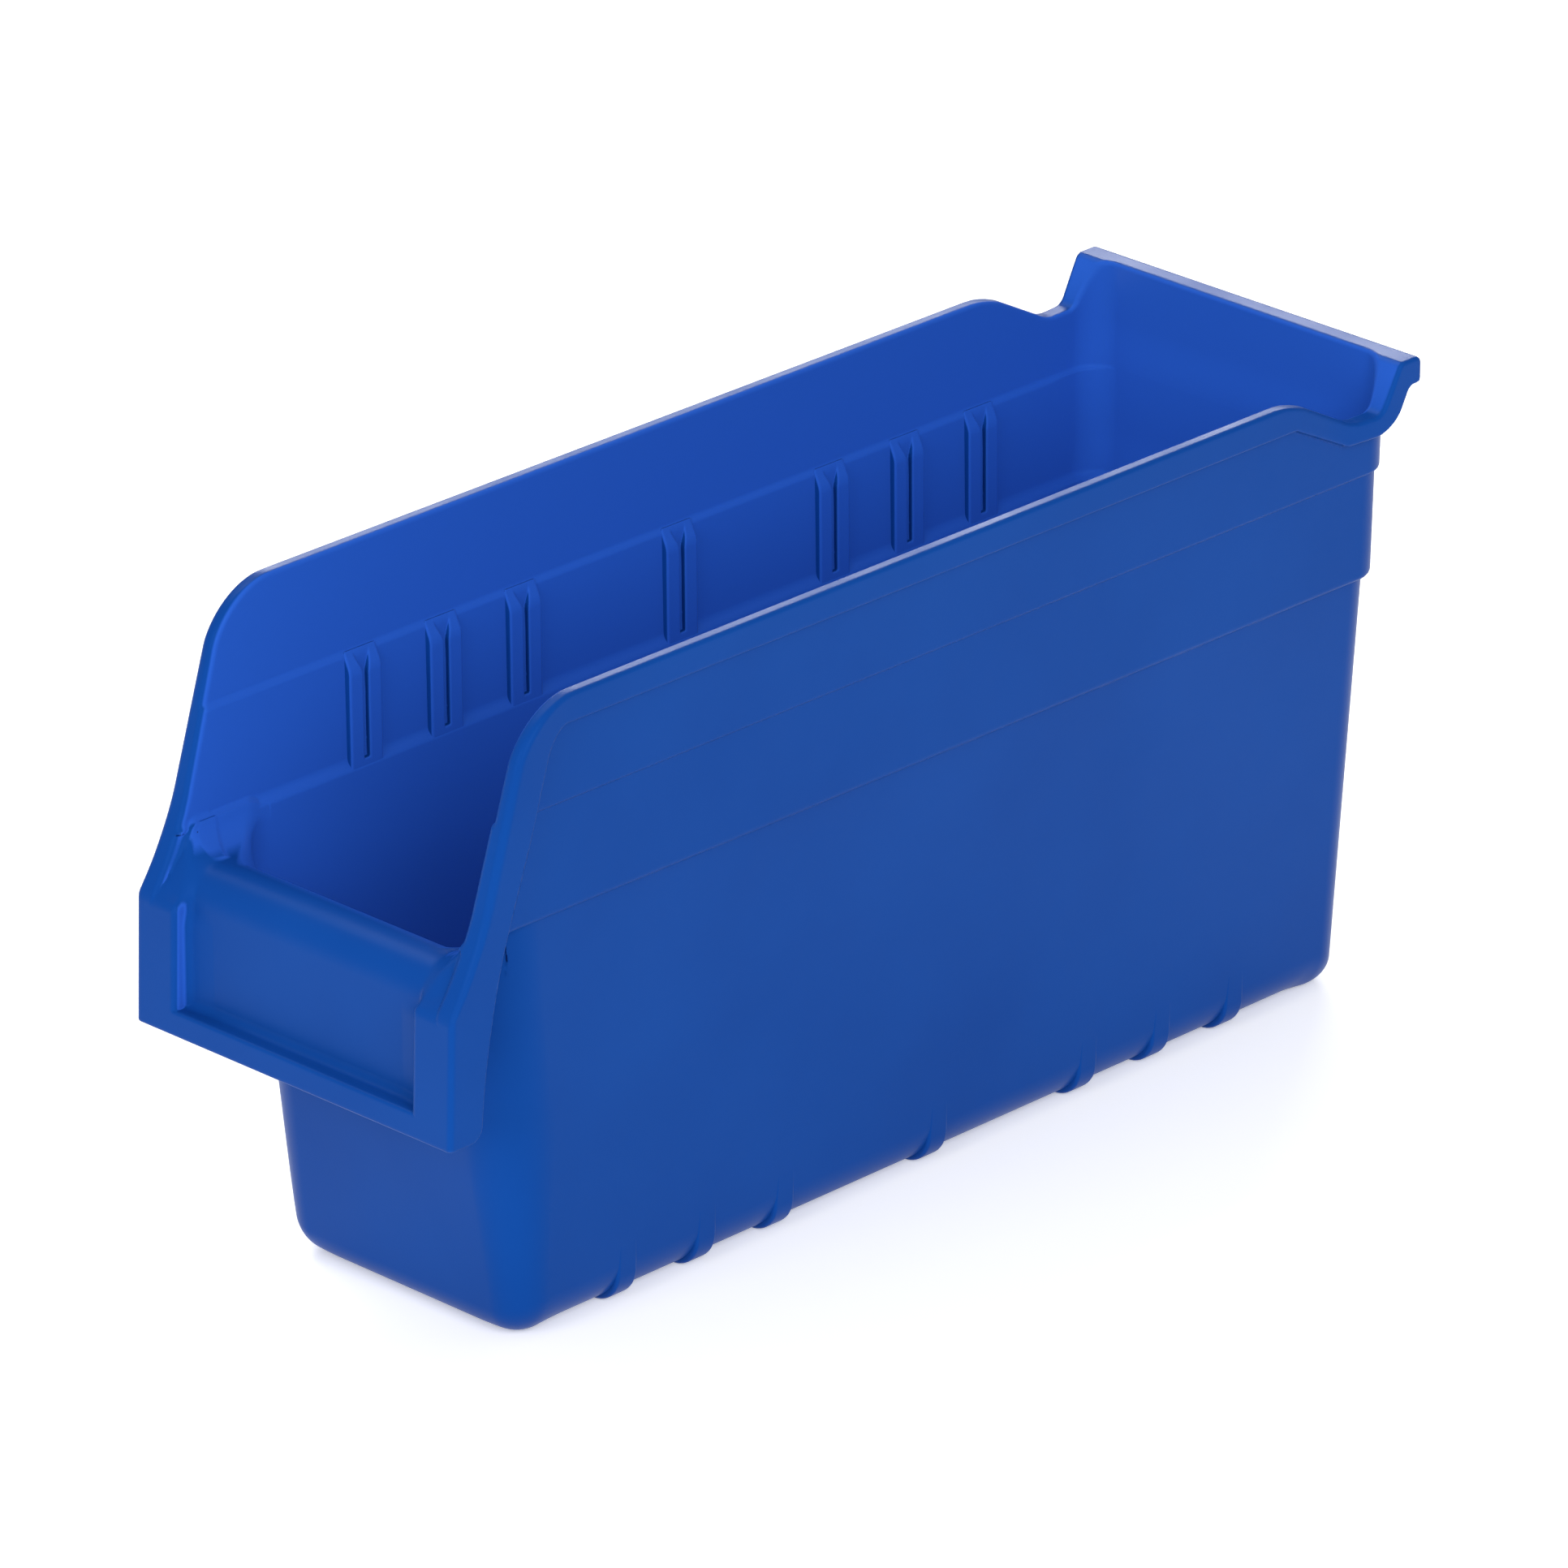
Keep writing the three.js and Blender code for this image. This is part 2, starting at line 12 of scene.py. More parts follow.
import bpy
import numpy as np
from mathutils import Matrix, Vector


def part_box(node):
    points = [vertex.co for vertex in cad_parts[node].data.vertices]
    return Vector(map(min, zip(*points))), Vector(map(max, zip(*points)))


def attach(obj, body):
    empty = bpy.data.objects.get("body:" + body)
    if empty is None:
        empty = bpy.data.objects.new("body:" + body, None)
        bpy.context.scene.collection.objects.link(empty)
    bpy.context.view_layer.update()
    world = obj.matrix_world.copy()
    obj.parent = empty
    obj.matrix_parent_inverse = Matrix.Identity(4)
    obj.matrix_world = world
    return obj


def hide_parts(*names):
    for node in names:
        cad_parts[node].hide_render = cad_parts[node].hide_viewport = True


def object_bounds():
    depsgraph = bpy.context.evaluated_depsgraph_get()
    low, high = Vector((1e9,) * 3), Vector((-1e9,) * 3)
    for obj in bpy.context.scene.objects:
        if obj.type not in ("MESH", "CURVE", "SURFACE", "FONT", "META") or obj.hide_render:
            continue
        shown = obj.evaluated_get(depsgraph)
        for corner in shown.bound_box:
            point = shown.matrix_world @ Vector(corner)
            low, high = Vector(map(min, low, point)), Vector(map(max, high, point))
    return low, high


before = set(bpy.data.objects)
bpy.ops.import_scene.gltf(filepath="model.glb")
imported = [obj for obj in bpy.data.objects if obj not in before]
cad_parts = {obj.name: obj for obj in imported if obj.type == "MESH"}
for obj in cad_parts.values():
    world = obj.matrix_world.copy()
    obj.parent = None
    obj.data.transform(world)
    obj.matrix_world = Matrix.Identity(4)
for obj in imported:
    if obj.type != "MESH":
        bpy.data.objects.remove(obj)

cad_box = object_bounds()
MM = 0.001


def span(node):
    """Lowest and highest corner of a CAD node, in millimetres."""
    return [np.array(corner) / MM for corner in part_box(node)]


# ---- dimensions ------------------------------------------------------------

FRONT, REAR, HEIGHT = cad_box[0][1] / MM, cad_box[1][1] / MM, cad_box[1][2] / MM
STEP_LOW = span("side_wall_middle_right")[0][2]
STEP_HIGH = span("side_wall_upper_right")[0][2]
PANEL_BOTTOM = span("side_frame_right")[0][2]
PANEL_HALF = span("side_frame_right")[1][0]
RECESS_HALF = span("side_frame_right")[0][0]
LIP_HALF = span("rim_right")[1][0]
WALL = 2.0
RIM_TOP = HEIGHT - 0.6
RIM_DEPTH = 6.6
RIM_HALF = 47.0

BASE_HALF, LOWER_DRAFT, BAND_DRAFT = 35.85, 0.0654, 0.0177
MIDDLE_HALF, UPPER_HALF = 44.0, 45.2
FRONT_FOOT, FRONT_LEAN = -117.5, 0.137
REAR_FOOT, REAR_DRAFT = 141.2, 0.0117
REAR_STEP_LOW, REAR_STEP_HIGH = 1.2, 1.9
FRONT_CORNER, FRONT_CORNER_GROWTH = 8.5, 5     # at the floor, and its gain over 60 mm
REAR_CORNER = 9.0
SIDE_FOOT, FRONT_FOOT_ROUND, REAR_FOOT_ROUND = 10.3, 7.0, 3.5

RECESS_BOTTOM = 65.6
SHOULDER_Y, SHOULDER_Z = FRONT + 1.2, 89.0
SLANT_Y, SLANT_Z, SLANT = FRONT + 7.9, 98.1, 0.3052
LIP_Y, LIP_Z, LIP_RADIUS = FRONT + 13.0, 88.6, 8.0
LIP_FLAT, LIP_FILLET = 33.0, 8.0
CREST, DIP_Z, DIP_ANGLE = 108.8, 141.7, math.radians(28)
POST_Y, POST_ANGLE = 136.2, math.radians(62)
POST_INNER = 41.9
POST_FACE, HOOK_FOOT = 142.5, 146.2
FRONT_END = -112.0               # the front features end here and the plain walls begin
MOUTH_INSET = 2.5                # how far the mouth's cut stays inside the tub's outer face
FOOT_HALF, FOOT_TOP, FOOT_INNER, FOOT_ROUND = 3.0, 15, 26.5, 7.5
SLOT_HALF, SLOT_FACE, GROOVE_HALF = 4.7, 40.55, 0.8
PLACES = [sum(span(f"foot_{i}_right")[k][1] for k in (0, 1)) / 2 for i in range(1, 8)]


# ---- the field ---------------------------------------------------------------

def both(a, b, radius):
    """Solid where a and b are; the outside edge between them is rounded."""
    rounded = np.hypot(np.maximum(a + radius, 0), np.maximum(b + radius, 0))
    return np.minimum(np.maximum(a, b), -radius) + rounded


def either(a, b, radius):
    """Solid where a or b is; the inside corner between them is filleted."""
    return -both(-a, -b, radius)


def ramp(low, high, value):
    """Smooth rise from 0 at low to 1 at high; a fall where low is over high."""
    t = np.clip((value - low) / (high - low), 0, 1)
    return t * t * (3 - 2 * t)


def plan(x, y, z, z_front):
    """Outline of the lower tub at height z, its front face taken at height z_front."""
    side = x - (BASE_HALF + LOWER_DRAFT * z)
    front = FRONT_FOOT - FRONT_LEAN * z_front - y
    rear = y - (REAR_FOOT + REAR_DRAFT * z)
    corner = FRONT_CORNER + FRONT_CORNER_GROWTH * ramp(0, 60, z)
    return np.maximum(both(side, front, corner), both(side, rear, REAR_CORNER))


def tub(x, y, z):
    side = x - (BASE_HALF + LOWER_DRAFT * z)
    end = np.maximum(FRONT_FOOT - FRONT_LEAN * z - y, y - (REAR_FOOT + REAR_DRAFT * z))
    end_round = np.where(y < 0, FRONT_FOOT_ROUND, REAR_FOOT_ROUND)
    foot = end_round + (SIDE_FOOT - end_round) * ramp(-12, 12, side - end)
    return both(plan(x, y, z, z), -z, foot)


def band(x, y, z, half, step, foot, inset, radius):
    """A straight band of wall over a step, offset inwards by inset."""
    side = x - half - BAND_DRAFT * (z - foot)
    rear = y - (REAR_FOOT + REAR_DRAFT * z + step)
    return both(both(side, rear, REAR_CORNER) + inset, foot - z, radius)


def panel_face(y, z):
    return FRONT + 0.031 * (z - PANEL_BOTTOM) - y


def shoulder(x, y, z):
    slope = 0.73 + 0.4 * ramp(RECESS_HALF, 44, x)
    return (z - SHOULDER_Z - slope * (y - SHOULDER_Y)) / np.hypot(1, slope)


def profile(x, y, z):
    """Side outline: panel, shoulder, slanted front, rim, dip in the rim and rear post."""
    slant = (SLANT_Y + SLANT * (z - SLANT_Z) - y) / math.hypot(1, SLANT)
    front = both(panel_face(y, z), either(shoulder(x, y, z), slant, 6), 1.0)
    slope = (z - RIM_TOP) * math.cos(DIP_ANGLE) + (y - CREST) * math.sin(DIP_ANGLE)
    top = either(both(z - RIM_TOP, slope, 2.5), z - DIP_Z, 1)
    post = (POST_Y - y) * math.sin(POST_ANGLE) + (z - DIP_Z) * math.cos(POST_ANGLE)
    return either(both(front, top, 13), both(post, z - HEIGHT, 1.2), 1.5)


def return_edge(y, z):
    """Rear edge of the flange's side return."""
    low = y - (FRONT + 9.6 + 0.032 * (z - PANEL_BOTTOM))
    high = y - (FRONT + 15.8 + 0.332 * (z - SLANT_Z))
    return either(low, high, 6)


def bead_under(y, z):
    """Under edge of the rim bead: straight, down with the dip, then up behind the post."""
    line = np.clip(RIM_TOP - RIM_DEPTH - 0.505 * (y - CREST - 1), 136.8, RIM_TOP - RIM_DEPTH)
    behind = (y - 141.0) * math.sin(POST_ANGLE) - (z - 138.6) * math.cos(POST_ANGLE)
    return either(both(line - z, behind, 5), HOOK_FOOT - z, 1)


def cavity(x, y, z):
    """The air inside: tapered tub and two wider bands, level with each other at the rear."""
    low = np.maximum(tub(x, y, z) + WALL, z - STEP_LOW - 3)
    step_low = REAR_STEP_LOW * ramp(STEP_LOW, STEP_LOW + 12, z)
    step_high = step_low + (REAR_STEP_HIGH - REAR_STEP_LOW) * ramp(STEP_HIGH, STEP_HIGH + 12, z)
    middle = band(x, y, z, MIDDLE_HALF, step_low, STEP_LOW, WALL, 2.2)
    upper = band(x, y, z, UPPER_HALF, step_high, STEP_HIGH, WALL, 1.2)
    soft = ramp(134, 126, y)
    return either(either(low, middle, 0.8 * soft), upper, 0.6 * soft)


def walls(x, y, z, side):
    """The tub, open at the front over the lip, the two bands over it, and a web under them."""
    within = x - (BASE_HALF + LOWER_DRAFT * np.minimum(z, STEP_LOW)) + MOUTH_INSET
    mouth = np.maximum(np.maximum(within, y - FRONT_END + 4), LIP_Z - z)
    low = np.maximum(np.maximum(tub(x, y, z), z - STEP_LOW - 2), -mouth)
    middle = band(x, y, z, MIDDLE_HALF, REAR_STEP_LOW, STEP_LOW, 0, 1.3)
    upper = band(x, y, z, UPPER_HALF, REAR_STEP_HIGH, STEP_HIGH, 0, 0.7)
    web = np.maximum(np.abs(x - 42.4) - 1.2, np.abs(z - STEP_LOW + 0.2) - 1.2)
    web = np.maximum(np.maximum(web, y - FRONT_END + 4.5), tub(x, y, z))
    outer = np.minimum(np.minimum(low, web), np.minimum(middle, upper))
    return np.maximum(outer, side)


def bead(x, y, z, side):
    """Rim bead, rear post and the upper part of the front flange."""
    flare = (LIP_HALF - RIM_HALF) * ramp(118, 142, y) + 0.35 * ramp(-110, -126, y)
    edge = 0.9 + 0.8 * ramp(-112, -126, y)
    body = both(both(x - RIM_HALF - flare, side, edge), y - REAR, 1.6)
    under = np.where(y > 0, bead_under(y, z), either(-(side + RIM_DEPTH), return_edge(y, z), 4))
    body = both(body, under, 0.6)
    body = np.maximum(body, STEP_LOW - 0.4 - z)
    return np.maximum(body, np.minimum(POST_INNER - x, y - POST_FACE))


def rear_hook(x, y, z):
    """Top plate and down-turned edge between the posts, hollow underneath."""
    block = both(both(y - REAR, z - HEIGHT, 1.6), HOOK_FOOT - z, 0.9)
    block = both(np.maximum(block, POST_FACE - y), x - LIP_HALF, 0.8)
    hollow = both(both(y - REAR + WALL, z - HEIGHT + WALL, 0.6), x - POST_INNER, 0.6)
    return both(block, -hollow, 0.5)


def lip(x, y, z, side):
    """Half-round roll across the front whose ends turn up into the side walls."""
    over = np.clip(x - LIP_FLAT, 0, LIP_FILLET - 0.2)
    rise = LIP_FILLET - np.sqrt(LIP_FILLET ** 2 - over ** 2)
    top = z - LIP_Z - LIP_RADIUS - rise + 2.5 * ramp(FRONT_END - 9, FRONT_END - 1, y)
    pad = 0.7 * np.clip((x - 28.4) / 7, 0, 1) * ramp(88, 84, z)
    front = LIP_Y - LIP_RADIUS - pad - y
    back = -(plan(x, y, z, np.minimum(z, LIP_Z)) + WALL)
    back_radius = LIP_RADIUS - 6.5 * ramp(29, 38, x)
    roll = both(front, top, LIP_RADIUS)
    roll = both(roll, side + 2.5 - 5.5 * ramp(42, 33, x), 2.0)
    return np.maximum(roll, both(back, top, back_radius)), top, back


def hopper(x, y, z, side):
    """Label panel, side frames, shoulders, lip and flange feet, as an open-backed skin."""
    roll, top, back = lip(x, y, z, side)
    face = panel_face(y, z)
    bar = np.maximum(both(face, z - RECESS_BOTTOM, 0.8), y - LIP_Y + 3.5)
    block = both(both(face, shoulder(x, y, z), 1.0), RECESS_HALF - x, 1.5)
    block = np.maximum(block, back + LIP_RADIUS)
    inner = MIDDLE_HALF - WALL + BAND_DRAFT * (z - STEP_LOW)
    flange = both(side, inner - x, 1.6)
    block = np.maximum(block, np.minimum(top + 0.5, inner - x))
    solid = either(np.minimum(np.minimum(bar, block), flange), roll, 2.0)
    edge = 1.3 + 0.4 * ramp(88, 97, z)
    solid = both(solid, x - PANEL_HALF + 0.05, edge)
    skin = np.maximum(solid, np.minimum(-(solid + WALL), STEP_LOW - 0.4 - z))
    within_tub = x - (BASE_HALF + LOWER_DRAFT * z) + 0.4
    open_back = np.minimum(return_edge(y, z), within_tub)
    skin = both(skin, both(open_back, PANEL_BOTTOM - z, 3.5), 0.6)
    return np.maximum(np.maximum(skin, y - FRONT_END), z - STEP_LOW - 3)


def moulding(x, y, z):
    """The whole bin but for its feet and divider slots."""
    x = np.abs(x)
    side = profile(x, y, z)
    air = cavity(x, y, z)
    body = np.minimum(walls(x, y, z, side), bead(x, y, z, side))
    body = np.minimum(body, rear_hook(x, y, z))
    inner_edge = 0.9 + 0.7 * ramp(-112, -126, y)
    body = both(body, -air, inner_edge)
    return np.minimum(body, hopper(x, y, z, side))


def divider_slot(x, y, z):
    """Two ribs with a groove between them, on the inside of the middle band."""
    wall = MIDDLE_HALF - WALL + BAND_DRAFT * (z - STEP_LOW)
    face = SLOT_FACE + 0.009 * (z - STEP_LOW) - x
    slope = (z - STEP_HIGH + 3.8 - 2.1 * (x - 40.6)) / math.hypot(1, 2.1)
    body = both(both(face, slope, 0.5), np.abs(y) - SLOT_HALF, 0.5)
    half_gap = GROOVE_HALF + 1.2 * ramp(STEP_HIGH - 5, STEP_HIGH, z)
    groove = np.maximum(np.abs(y) - half_gap, x - wall + 0.15)
    groove = np.maximum(groove, STEP_LOW + 1.3 - z)
    body = both(body, -groove, 0.35)
    return np.maximum(np.maximum(body, x - wall - 0.6), STEP_LOW - 0.5 - z)


def foot(x, y, z):
    """A pad that fills the rounding of the side wall and fades out above it."""
    face = x - (BASE_HALF + LOWER_DRAFT * z + 0.3 * (1 - z / FOOT_TOP))
    body = both(both(face, -z, FOOT_ROUND), np.abs(y) - FOOT_HALF, 0.8)
    inside = -(tub(x, 0 * y, z) + 1)
    return np.maximum(np.maximum(body, inside), np.maximum(FOOT_INNER - x, z - FOOT_TOP))


# ---- which feature a point of the moulding belongs to ------------------------

SIDED = ["side_wall_lower", "side_wall_middle", "side_wall_upper",
         "rim", "front_flange", "side_frame"]
SINGLE = ["floor_pan", "front_wall", "rear_wall_lower", "rear_wall_middle", "rear_wall_upper",
          "rear_lip", "hopper_lip", "label_panel"]
FEATURES = SINGLE + [f"{n}_right" for n in SIDED] + [f"{n}_left" for n in SIDED]


def feature_of(x, y, z):
    """Index in FEATURES for each grid point, from the borders of the CAD nodes."""
    half = np.abs(x)
    number = {name: i for i, name in enumerate(FEATURES)}
    left = np.where(x < 0, len(SIDED), 0)
    flat = np.zeros(np.broadcast_shapes(x.shape, y.shape, z.shape), np.int16)
    rear = y > half + span("rear_wall_lower")[0][1] - 28.0
    front = y < -half - 86.2
    side = profile(half, y, z)
    level = np.where(z < STEP_LOW, 0, np.where(z < STEP_HIGH, 1, 2))
    out = flat + number["side_wall_lower_right"] + left + level
    out = np.where(rear, number["rear_wall_lower"] + level, out)
    out = np.where(front & (z < LIP_Z), number["front_wall"], out)
    out = np.where(z < 2.6, number["floor_pan"], out)
    lip_zone = (y < FRONT_END) & (half < MIDDLE_HALF - WALL)
    lip_zone = lip_zone & (z > LIP_Z - 0.6) & (z < STEP_LOW + 3)
    out = np.where(lip_zone, number["hopper_lip"], out)
    ahead = y < FRONT_FOOT - FRONT_LEAN * z - 1.5
    panel = ahead & (half < RECESS_HALF) & (z < LIP_Z - 0.6)
    out = np.where(panel, number["label_panel"], out)
    outboard = (half > MIDDLE_HALF - WALL) | ((half > RECESS_HALF) & (z < LIP_Z - 0.6) & ahead)
    frame_zone = outboard & (return_edge(y, z) < 0) & (z > PANEL_BOTTOM - 1)
    out = np.where(frame_zone & (z < SLANT_Z), number["side_frame_right"] + left, out)
    out = np.where(frame_zone & (z >= SLANT_Z), number["front_flange_right"] + left, out)
    rim = (side > -RIM_DEPTH) & (z > DIP_Z - 6) & ~((half < POST_INNER) & (y > 138))
    out = np.where(rim, number["rim_right"] + left, out)
    hook = (half < POST_INNER) & (y > 138) & (z > 136.2)
    return np.where(hook, number["rear_lip"], out)


# ---- drawing the field as meshes ---------------------------------------------

def gradient(field, points, reach):
    """Slope of the field at each point, by central differences over reach."""
    out = np.empty_like(points)
    for axis in range(3):
        step = np.zeros(3)
        step[axis] = reach
        ahead = field(*(points + step).T)
        out[:, axis] = (ahead - field(*(points - step).T)) / (2 * reach)
    return out


SINK = 0.2                       # depth of the faces on the cuts, under the surface


def draw(field, axes, owner_of):
    """Points, normals and quads by owner of the surface of field on a grid of planes."""
    xs, ys, zs = axes
    x, y, z = xs[:, None, None], ys[None, :, None], zs[None, None, :]
    value = field(x, y, z)
    owner = np.where(value < 0, owner_of(x, y, z), -1)
    cells = tuple(n - 1 for n in value.shape)
    total = np.prod(cells)
    weight, place = np.zeros(total), np.zeros((total, 3))
    quads, owners, borders = [], [], []
    for axis in range(3):
        across, up = (axis + 1) % 3, (axis + 2) % 3
        here = [slice(None)] * 3
        here[across] = here[up] = slice(1, -1)
        lower, upper = list(here), list(here)
        lower[axis], upper[axis] = slice(0, -1), slice(1, None)
        own_a, own_b = owner[tuple(lower)], owner[tuple(upper)]
        cut = np.argwhere(own_a != own_b)
        cut[:, across] += 1
        cut[:, up] += 1
        after = cut.copy()
        after[:, axis] += 1
        a, b = owner[tuple(cut.T)], owner[tuple(after.T)]
        corners = []
        for d_across, d_up in ((-1, -1), (0, -1), (0, 0), (-1, 0)):
            cell = cut.copy()
            cell[:, across] += d_across
            cell[:, up] += d_up
            corners.append(np.ravel_multi_index(tuple(cell.T), cells))
        corners = np.stack(corners, 1)
        crossing = (a < 0) | (b < 0)
        va, vb = value[tuple(cut[crossing].T)], value[tuple(after[crossing].T)]
        at = np.stack([axes[k][cut[crossing, k]] for k in range(3)], 1)
        at[:, axis] += (axes[axis][after[crossing, axis]] - at[:, axis]) * va / (va - vb)
        for corner in corners[crossing].T:
            weight += np.bincount(corner, minlength=total)
            for k in range(3):
                place[:, k] += np.bincount(corner, at[:, k], minlength=total)
        quads += [corners[a >= 0], corners[b >= 0][:, ::-1]]
        owners += [a[a >= 0], b[b >= 0]]
        borders += [~crossing[a >= 0], ~crossing[b >= 0]]
    quads, owners = np.concatenate(quads), np.concatenate(owners)
    border = np.concatenate(borders)
    used, quads = np.unique(quads, return_inverse=True)
    quads = quads.reshape(-1, 4)
    index = np.stack(np.unravel_index(used, cells), 1)
    low = np.stack([axes[k][index[:, k]] for k in range(3)], 1)
    high = np.stack([axes[k][index[:, k] + 1] for k in range(3)], 1)
    on = weight[used] > 0
    points = (low + high) / 2
    points[on] = place[used][on] / weight[used][on, None]
    start = points[on].copy()
    reach = (high - low)[on] * 0.6
    for _ in range(3):
        slope = gradient(field, points[on], 0.05)
        push = field(*points[on].T) / np.maximum((slope ** 2).sum(1), 0.2)
        points[on] = np.clip(points[on] - slope * push[:, None], start - reach, start + reach)
    points = np.clip(points, [-LIP_HALF, FRONT, 0], [LIP_HALF, REAR, HEIGHT])
    normals = np.tile([0.0, 0.0, 1.0], (len(points), 1))
    slope = gradient(field, points[on], 0.2)
    normals[on] = slope / np.maximum(np.linalg.norm(slope, axis=1, keepdims=True), 1e-6)
    sunk = points.copy()
    sunk[on] -= SINK * normals[on]
    quads = np.where(border[:, None], quads + len(points), quads)
    points, normals = np.concatenate([points, sunk]), np.concatenate([normals, normals])
    return points, normals, quads, owners, border


def add_piece(node, points, normals, quads, border):
    """A smooth mesh that stands for one CAD node."""
    used, quads = np.unique(quads, return_inverse=True)
    quads = quads.reshape(-1, 4)
    mesh = bpy.data.meshes.new(f"moulded_{node}")
    mesh.vertices.add(len(used))
    mesh.vertices.foreach_set("co", (points[used] * MM).astype(np.float32).ravel())
    mesh.loops.add(quads.size)
    mesh.loops.foreach_set("vertex_index", quads.astype(np.int32).ravel())
    mesh.polygons.add(len(quads))
    mesh.polygons.foreach_set("loop_start", np.arange(0, quads.size, 4, dtype=np.int32))
    mesh.polygons.foreach_set("use_smooth", ~border)
    mesh.update(calc_edges=True)
    mesh.validate()
    mesh.normals_split_custom_set_from_vertices(normals[used].tolist())
    piece = bpy.data.objects.new(f"moulded_{node}", mesh)
    bpy.context.scene.collection.objects.link(piece)
    mesh.materials.append(plastic)
    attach(piece, "root")
    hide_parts(node)


def planes(*stretches):
    """Grid planes from (start, spacing) pairs, the last pair giving only the end."""
    parts = []
    for (start, spacing), (end, _) in zip(stretches, stretches[1:]):
        count = max(round((end - start) / spacing), 1)
        parts.append(np.linspace(start, end, count, endpoint=False))
    return np.append(np.concatenate(parts), stretches[-1][0])


FINE = 0.5


def add_moulding():
    half = planes((0.7, 3), (26.3, FINE), (49.3, 0))
    axes = (
        np.concatenate([-half[::-1], half]),
        planes((FRONT - 0.73, FINE), (FRONT_END, 4), (105, 1), (136, FINE), (REAR + 0.83, 0)),
        planes((-0.57, FINE), (12, 1), (16, 3), (58, FINE), (68, 2), (83, FINE), (106, 2.5),
               (124, FINE), (130, 1), (134, FINE), (HEIGHT + 0.71, 0)),
    )
    points, normals, quads, owners, border = draw(moulding, axes, feature_of)
    for i, node in enumerate(FEATURES):
        add_piece(node, points, normals, quads[owners == i], border[owners == i])


def one_owner(x, y, z):
    return np.zeros(np.broadcast_shapes(x.shape, y.shape, z.shape), int)


def add_repeats(name, field, axes):
    """One small feature drawn once, then set at every place on both sides."""
    points, normals, quads, _, border = draw(field, axes, one_owner)
    flip = np.array([-1, 1, 1])
    for i, place in enumerate(PLACES, 1):
        moved = points + [0, place, 0]
        add_piece(f"{name}_{i}_right", moved, normals, quads, border)
        add_piece(f"{name}_{i}_left", moved * flip, normals * flip, quads[:, ::-1], border)


# ---- plastic -----------------------------------------------------------------

def node_of(tree, kind, **sockets):
    node = tree.nodes.new(kind)
    for name, value in sockets.items():
        node.inputs[name.replace("_", " ")].default_value = value
    return node


def mix_colours(tree, first, second):
    mix = tree.nodes.new("ShaderNodeMix")
    mix.data_type = "RGBA"
    tree.links.new(first, mix.inputs["A"])
    mix.inputs["B"].default_value = second
    return mix


def facing_inward(tree):
    """One on faces turned to the room inside the bin, where painted light stands in for light that
    comes through the wall.
    """
    place = tree.nodes.new("ShaderNodeTexCoord")
    room = place.outputs["Object"]
    for operation, corner in (("MAXIMUM", (0, -0.10, 0.03)), ("MINIMUM", (0, 0.12, 1))):
        limit = tree.nodes.new("ShaderNodeVectorMath")
        limit.operation = operation
        limit.inputs[1].default_value = corner
        tree.links.new(room, limit.inputs[0])
        room = limit.outputs["Vector"]
    toward = tree.nodes.new("ShaderNodeVectorMath")
    toward.operation = "SUBTRACT"
    tree.links.new(room, toward.inputs[0])
    tree.links.new(place.outputs["Object"], toward.inputs[1])
    facing = tree.nodes.new("ShaderNodeVectorMath")
    facing.operation = "DOT_PRODUCT"
    tree.links.new(toward.outputs["Vector"], facing.inputs[0])
    tree.links.new(place.outputs["Normal"], facing.inputs[1])
    inner_light_mask = node_of(tree, "ShaderNodeMapRange", From_Min=0.004, From_Max=0.018)
    tree.links.new(facing.outputs["Value"], inner_light_mask.inputs["Value"])
    return inner_light_mask.outputs["Result"]


PAINTED_INNER_GLOW = 0.05                # painted light: a glow on the inner faces, standing in for light carried through the wall
FLOOR_GLOW = 0.30                # keeps the floor white and its shadow faint


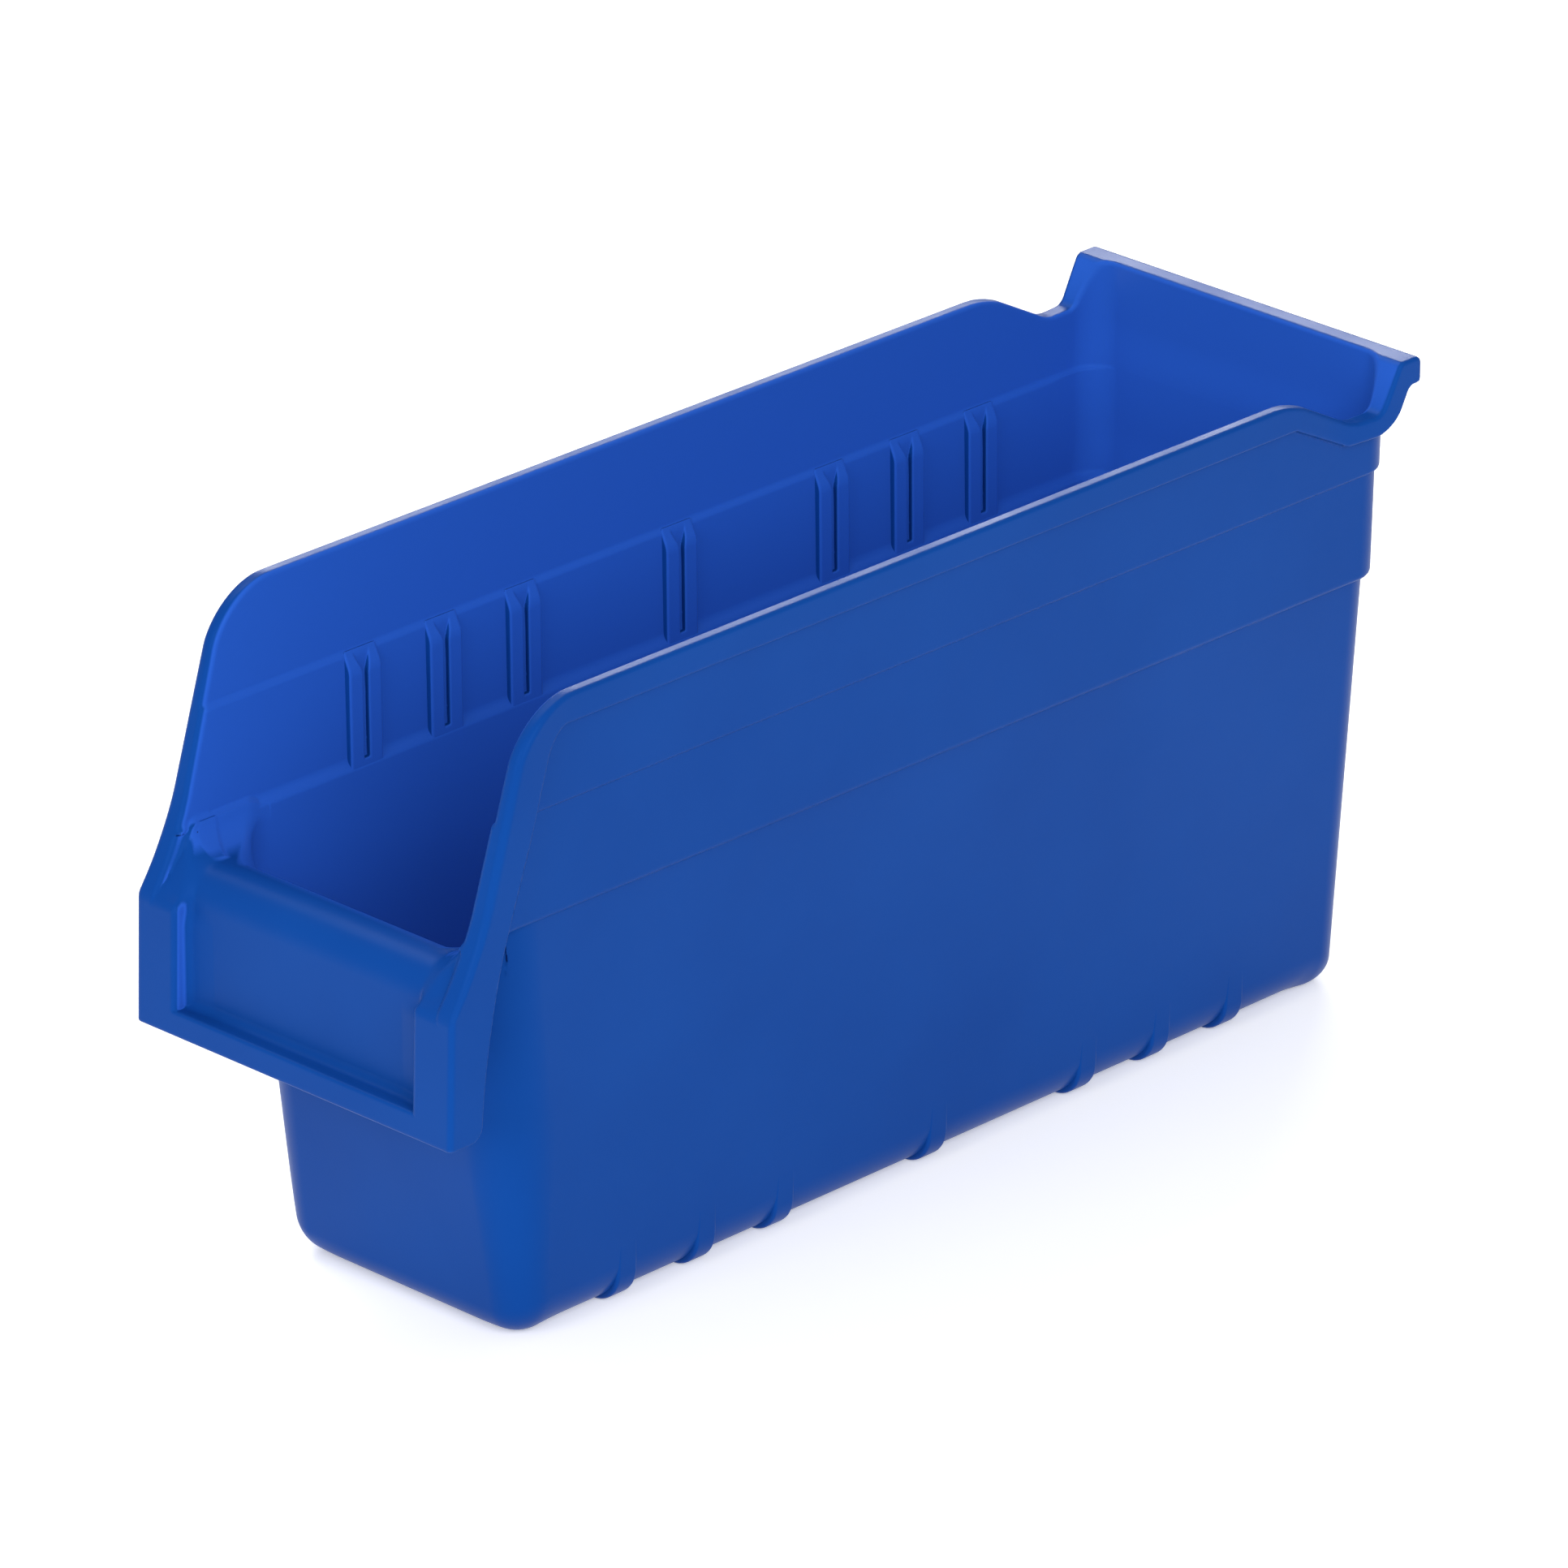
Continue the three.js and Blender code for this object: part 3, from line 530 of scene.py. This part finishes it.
def make_plastic():
    material = bpy.data.materials.new("bin_plastic")
    material.use_nodes = True
    tree = material.node_tree
    link = tree.links.new
    shader = tree.nodes["Principled BSDF"]
    shader.inputs["IOR"].default_value = 1.49
    shader.inputs["Specular IOR Level"].default_value = 0.07
    shader.inputs["Specular Tint"].default_value = (0.15, 0.4, 1.0, 1)
    where = tree.nodes.new("ShaderNodeTexCoord").outputs["Object"]

    clouds = node_of(tree, "ShaderNodeTexNoise", Scale=14.0, Detail=3.0, Roughness=0.55)
    link(where, clouds.inputs["Vector"])
    tint = tree.nodes.new("ShaderNodeValToRGB")
    tint.color_ramp.elements[0].color = (0.0032, 0.043, 0.230, 1)
    tint.color_ramp.elements[0].position = 0.3
    tint.color_ramp.elements[1].color = (0.0040, 0.050, 0.255, 1)
    tint.color_ramp.elements[1].position = 0.7
    link(clouds.outputs["Fac"], tint.inputs["Fac"])

    # sharp convex edges are given a lighter blue
    edge = tree.nodes.new("ShaderNodeNewGeometry").outputs["Pointiness"]
    edge_mask = node_of(tree, "ShaderNodeMapRange", From_Min=0.53, From_Max=0.62, To_Max=0.35)
    link(edge, edge_mask.inputs["Value"])
    lighter_edges = mix_colours(tree, tint.outputs["Color"], (0.03, 0.10, 0.36, 1))
    link(edge_mask.outputs["Result"], lighter_edges.inputs["Factor"])

    inner_light_mask = facing_inward(tree)
    # painted light: the inner faces get a lighter blue, standing in for light that comes through the
    # wall
    inner = mix_colours(tree, lighter_edges.outputs["Result"], (0.014, 0.075, 0.40, 1))
    link(inner_light_mask, inner.inputs["Factor"])
    link(inner.outputs["Result"], shader.inputs["Base Color"])
    # painted light: the inner faces glow blue, though they are no lamp
    glow = node_of(tree, "ShaderNodeMath")
    glow.operation = "MULTIPLY"
    glow.inputs[1].default_value = PAINTED_INNER_GLOW
    link(inner_light_mask, glow.inputs[0])
    link(glow.outputs["Value"], shader.inputs["Emission Strength"])
    shader.inputs["Emission Color"].default_value = (0.06, 0.24, 1.0, 1)

    flow = node_of(tree, "ShaderNodeTexNoise", Scale=40.0, Detail=2.0)
    link(where, flow.inputs["Vector"])
    gloss = node_of(tree, "ShaderNodeMapRange", From_Min=0.3, From_Max=0.7, To_Min=0.30, To_Max=0.40)
    link(flow.outputs["Fac"], gloss.inputs["Value"])
    link(gloss.outputs["Result"], shader.inputs["Roughness"])

    grain = node_of(tree, "ShaderNodeTexNoise", Scale=2600.0, Detail=2.0)
    wave = node_of(tree, "ShaderNodeTexNoise", Scale=70.0, Detail=1.0)
    link(where, grain.inputs["Vector"])
    link(where, wave.inputs["Vector"])
    fine = node_of(tree, "ShaderNodeBump", Strength=0.06, Distance=0.0002)
    broad = node_of(tree, "ShaderNodeBump", Strength=0.10, Distance=0.0006)
    link(grain.outputs["Fac"], fine.inputs["Height"])
    link(wave.outputs["Fac"], broad.inputs["Height"])
    link(broad.outputs["Normal"], fine.inputs["Normal"])
    link(fine.outputs["Normal"], shader.inputs["Normal"])
    return material


# ---- floor, light and camera ---------------------------------------------------

def make_floor():
    size = 6.0
    mesh = bpy.data.meshes.new("studio_floor")
    corners = [(-size, -size, 0), (size, -size, 0), (size, size, 0), (-size, size, 0)]
    mesh.from_pydata(corners, [], [(0, 1, 2, 3)])
    floor = bpy.data.objects.new("studio_floor", mesh)
    bpy.context.scene.collection.objects.link(floor)
    material = bpy.data.materials.new("floor_paper")
    material.use_nodes = True
    shader = material.node_tree.nodes["Principled BSDF"]
    shader.inputs["Base Color"].default_value = (0.93, 0.93, 0.93, 1)
    shader.inputs["Roughness"].default_value = 0.9
    shader.inputs["Specular IOR Level"].default_value = 0.1
    shader.inputs["Emission Color"].default_value = (1, 1, 1, 1)
    shader.inputs["Emission Strength"].default_value = FLOOR_GLOW
    mesh.materials.append(material)


def add_light(name, place, aim, size, power):
    lamp = bpy.data.lights.new(name, "AREA")
    lamp.shape = "RECTANGLE"
    lamp.size, lamp.size_y = size
    lamp.energy = power
    light = bpy.data.objects.new(name, lamp)
    light.location = place
    light.rotation_euler = (Vector(aim) - Vector(place)).to_track_quat("-Z", "Y").to_euler()
    bpy.context.scene.collection.objects.link(light)


def make_studio():
    world = bpy.data.worlds.new("studio")
    world.use_nodes = True
    world.node_tree.nodes["Background"].inputs["Color"].default_value = (1, 1, 1, 1)
    world.node_tree.nodes["Background"].inputs["Strength"].default_value = 0.40
    bpy.context.scene.world = world
    middle = (0, 0, 0.07)
    add_light("key_right", (2.0, -1.0, 1.35), middle, (1.3, 1.3), 43)
    add_light("front_fill", (0.3, -2.0, 1.0), middle, (1.2, 1.0), 18)
    add_light("rim_behind", (-1.0, 1.05, 0.72), middle, (0.9, 0.35), 12)
    add_light("top_left", (-0.9, 0.0, 1.7), middle, (0.9, 0.9), 14)
    bpy.context.scene.view_settings.view_transform = "Standard"


def make_camera():
    """A long lens, from the front right and above."""
    azimuth, elevation = math.radians(44.217), math.radians(23.654)
    distance = 2.6135
    aim = Vector((-0.0216, 0.0206, 0.0689))
    ahead = Vector((-math.sin(azimuth) * math.cos(elevation),
                    math.cos(azimuth) * math.cos(elevation), -math.sin(elevation)))
    data = bpy.data.cameras.new("camera")
    data.lens, data.sensor_width = 275.1, 36
    data.clip_end = 50
    camera = bpy.data.objects.new("camera", data)
    camera.location = aim - ahead * distance
    camera.rotation_euler = ahead.to_track_quat("-Z", "Y").to_euler()
    bpy.context.scene.collection.objects.link(camera)
    bpy.context.scene.camera = camera


plastic = make_plastic()
add_moulding()
add_repeats("divider_slot", divider_slot, (
    planes((39.9, 0.3), (43.7, 0)), planes((-5.17, 0.3), (5.17, 0)),
    planes((STEP_LOW - 1.1, 0.35), (STEP_HIGH + 0.9, 0))))
add_repeats("foot", foot, (
    planes((26.2, 0.45), (38.2, 0)), planes((-3.52, 0.27), (3.52, 0)),
    planes((-0.6, 0.45), (15.7, 0))))
make_floor()
make_studio()
make_camera()
